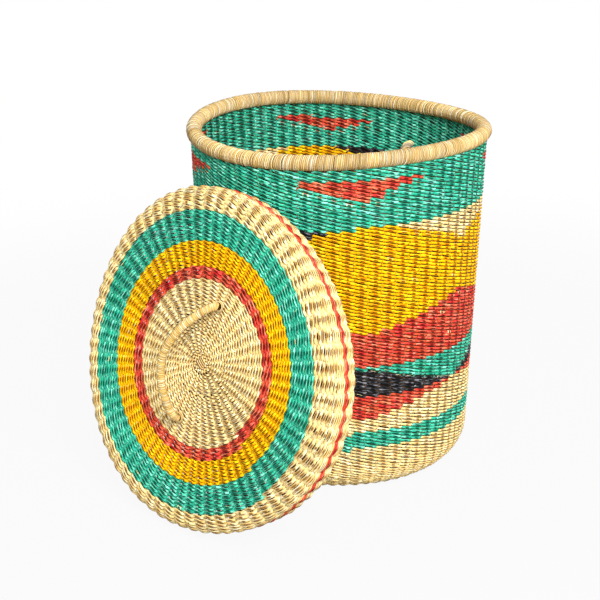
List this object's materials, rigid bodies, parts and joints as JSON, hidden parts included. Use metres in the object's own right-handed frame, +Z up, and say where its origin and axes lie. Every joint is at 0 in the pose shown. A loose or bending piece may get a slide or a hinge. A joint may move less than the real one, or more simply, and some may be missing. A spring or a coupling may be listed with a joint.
{
  "type": "lidded woven basket",
  "caption": "Tall round woven grass hamper with a wrapped rim and a zigzag pattern, its round lid with an arched handle taken off and leaning against the front.",
  "frame": {"origin": "middle of the basket's base, on the floor", "axes": "+Z up the basket's axis; -Y towards the side that the lid leans on; +X to the right of the lid as its outer face is seen"},
  "size_m": [0.4399, 0.5344, 0.4595],
  "materials": {
    "natural_straw": "dry twisted grass, satin",
    "teal_straw": "dyed twisted grass, satin",
    "red_straw": "dyed twisted grass, satin",
    "yellow_straw": "dyed twisted grass, satin",
    "black_straw": "dyed twisted grass, satin",
    "wrap_straw": "smooth grass wound tight, a little shiny"
  },
  "bodies": {
    "basket": {"base_start": "natural_straw", "base_weave": "natural_straw", "corner_low_weave": "natural_straw", "corner_high_weave": "natural_straw", "foot_weave": "natural_straw", "teal_foot_band": "teal_straw", "natural_band": "natural_straw", "teal_zigzag_band": "teal_straw", "red_band": "red_straw", "yellow_low_band": "yellow_straw", "yellow_high_band": "yellow_straw", "teal_shoulder_band": "teal_straw", "teal_top_band": "teal_straw", "red_foot_point_1": "red_straw", "red_foot_point_2": "red_straw", "red_foot_point_3": "red_straw", "red_foot_point_4": "red_straw", "black_point_1": "black_straw", "black_point_2": "black_straw", "black_point_3": "black_straw", "black_point_4": "black_straw", "red_high_point_1": "red_straw", "red_high_point_2": "red_straw", "red_high_point_3": "red_straw", "red_high_point_4": "red_straw", "natural_hanging_point_1": "natural_straw", "black_hanging_point_2": "black_straw", "natural_hanging_point_3": "natural_straw", "black_hanging_point_4": "black_straw", "red_top_point_1": "red_straw", "red_top_point_2": "red_straw", "red_top_point_3": "red_straw", "red_top_point_4": "red_straw", "stake_tips": "natural_straw", "rim_core": "natural_straw", "rim_wrap": "wrap_straw", "inside_loop": "wrap_straw"},
    "lid": {"lid_start": "natural_straw", "lid_centre_weave": "natural_straw", "lid_red_ring": "red_straw", "lid_yellow_ring": "yellow_straw", "lid_teal_ring": "teal_straw", "lid_shoulder_weave": "natural_straw", "lid_skirt_weave": "natural_straw", "lid_red_stripe": "red_straw", "lid_edge_weave": "natural_straw", "lid_border": "natural_straw", "handle_core": "natural_straw", "handle_wrap": "wrap_straw", "handle_lashing_1": "wrap_straw", "handle_lashing_2": "wrap_straw", "handle_knot_1": "natural_straw", "handle_knot_2": "natural_straw"}
  },
  "joints": [
    {"name": "lid_lift", "type": "slide", "parent": "basket", "child": "lid", "axis": [0, -0.9694, 0.2453], "range_m": [0, 0.3]}
  ]
}
